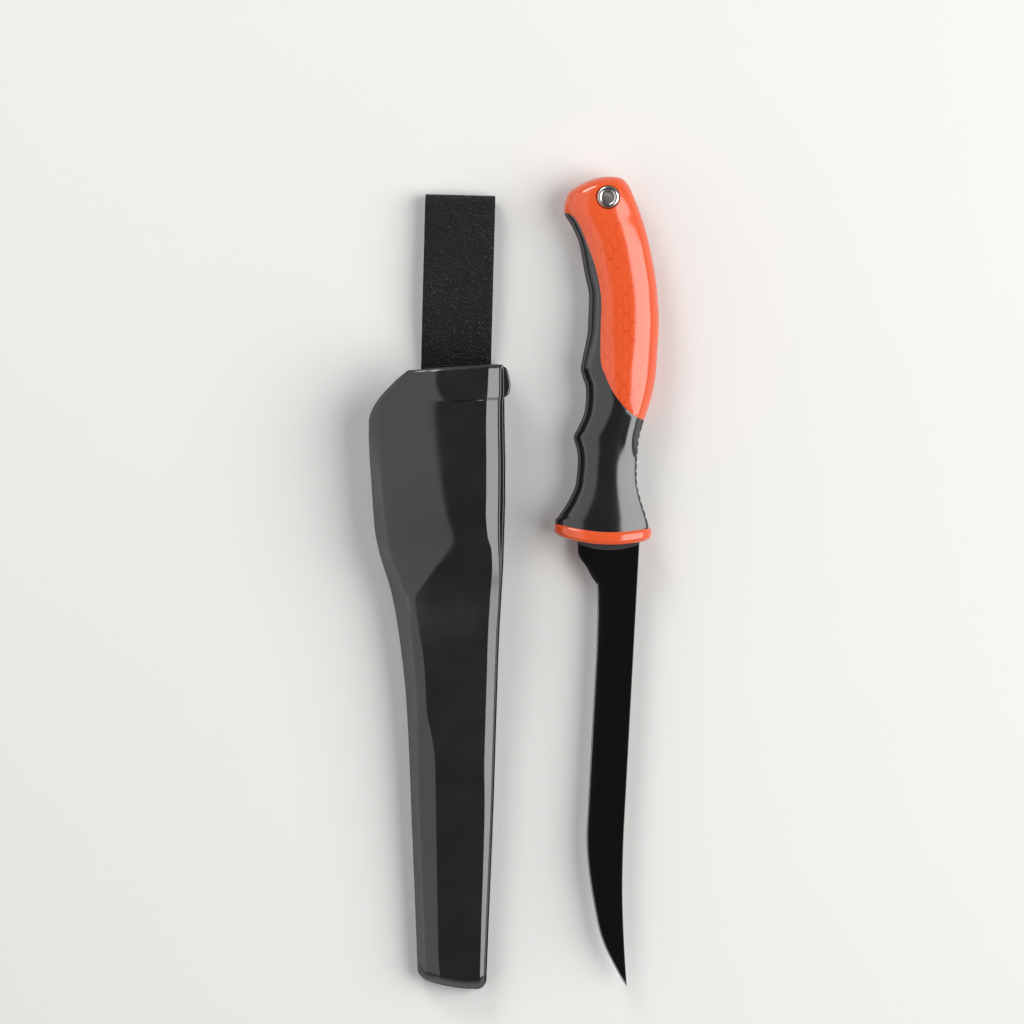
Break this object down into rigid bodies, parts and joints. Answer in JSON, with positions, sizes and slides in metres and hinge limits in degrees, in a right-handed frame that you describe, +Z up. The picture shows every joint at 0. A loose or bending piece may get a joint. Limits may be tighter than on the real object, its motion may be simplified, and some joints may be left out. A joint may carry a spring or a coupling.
{
  "type": "fillet knife with belt sheath",
  "caption": "Narrow swept-tip fillet knife with a two-shot curved handle, lying drawn beside its hollow two-shell plastic sheath, which hangs on a belt by a folded strap loop.",
  "frame": {"origin": "middle of the set's footprint, on the surface that knife and sheath lie on", "axes": "+Y from the points towards butt and belt loop, +X from sheath to knife, +Z up from the surface"},
  "size_m": [0.1072, 0.3012, 0.0295],
  "materials": {
    "blade_coating": "black non-stick coating, bare ground edge",
    "handle_orange": "satin moulded",
    "grip_black": "soft satin",
    "eyelet_steel": "nickel plated",
    "sheath_plastic": "satin moulded",
    "strap_leather": "fine embossed grain",
    "rivet_steel": "plated"
  },
  "bodies": {
    "sheath": {"sheath_front": "sheath_plastic", "sheath_back": "sheath_plastic", "belt_strap_ends": "strap_leather", "loop_rivet_left": "rivet_steel", "loop_rivet_right": "rivet_steel", "rivet_washer_left": "rivet_steel", "rivet_washer_right": "rivet_steel"},
    "belt_loop": {"belt_loop": "strap_leather"},
    "knife": {"blade": "blade_coating", "handle_core": "handle_orange", "grip_overmould": "grip_black", "lanyard_eyelet": "eyelet_steel", "eyelet_washer": "eyelet_steel"}
  },
  "joints": [
    {"name": "knife_lift", "type": "slide", "parent": "sheath", "child": "knife", "axis": [0, 0, 1], "range_m": [0, 0.12]},
    {"name": "belt_loop_flex", "type": "hinge", "parent": "sheath", "child": "belt_loop", "pos_m": [-0.02162, 0.08013, 0.002], "axis": [0.9997, -0.0262, 0], "range_deg": [0, 60]}
  ]
}
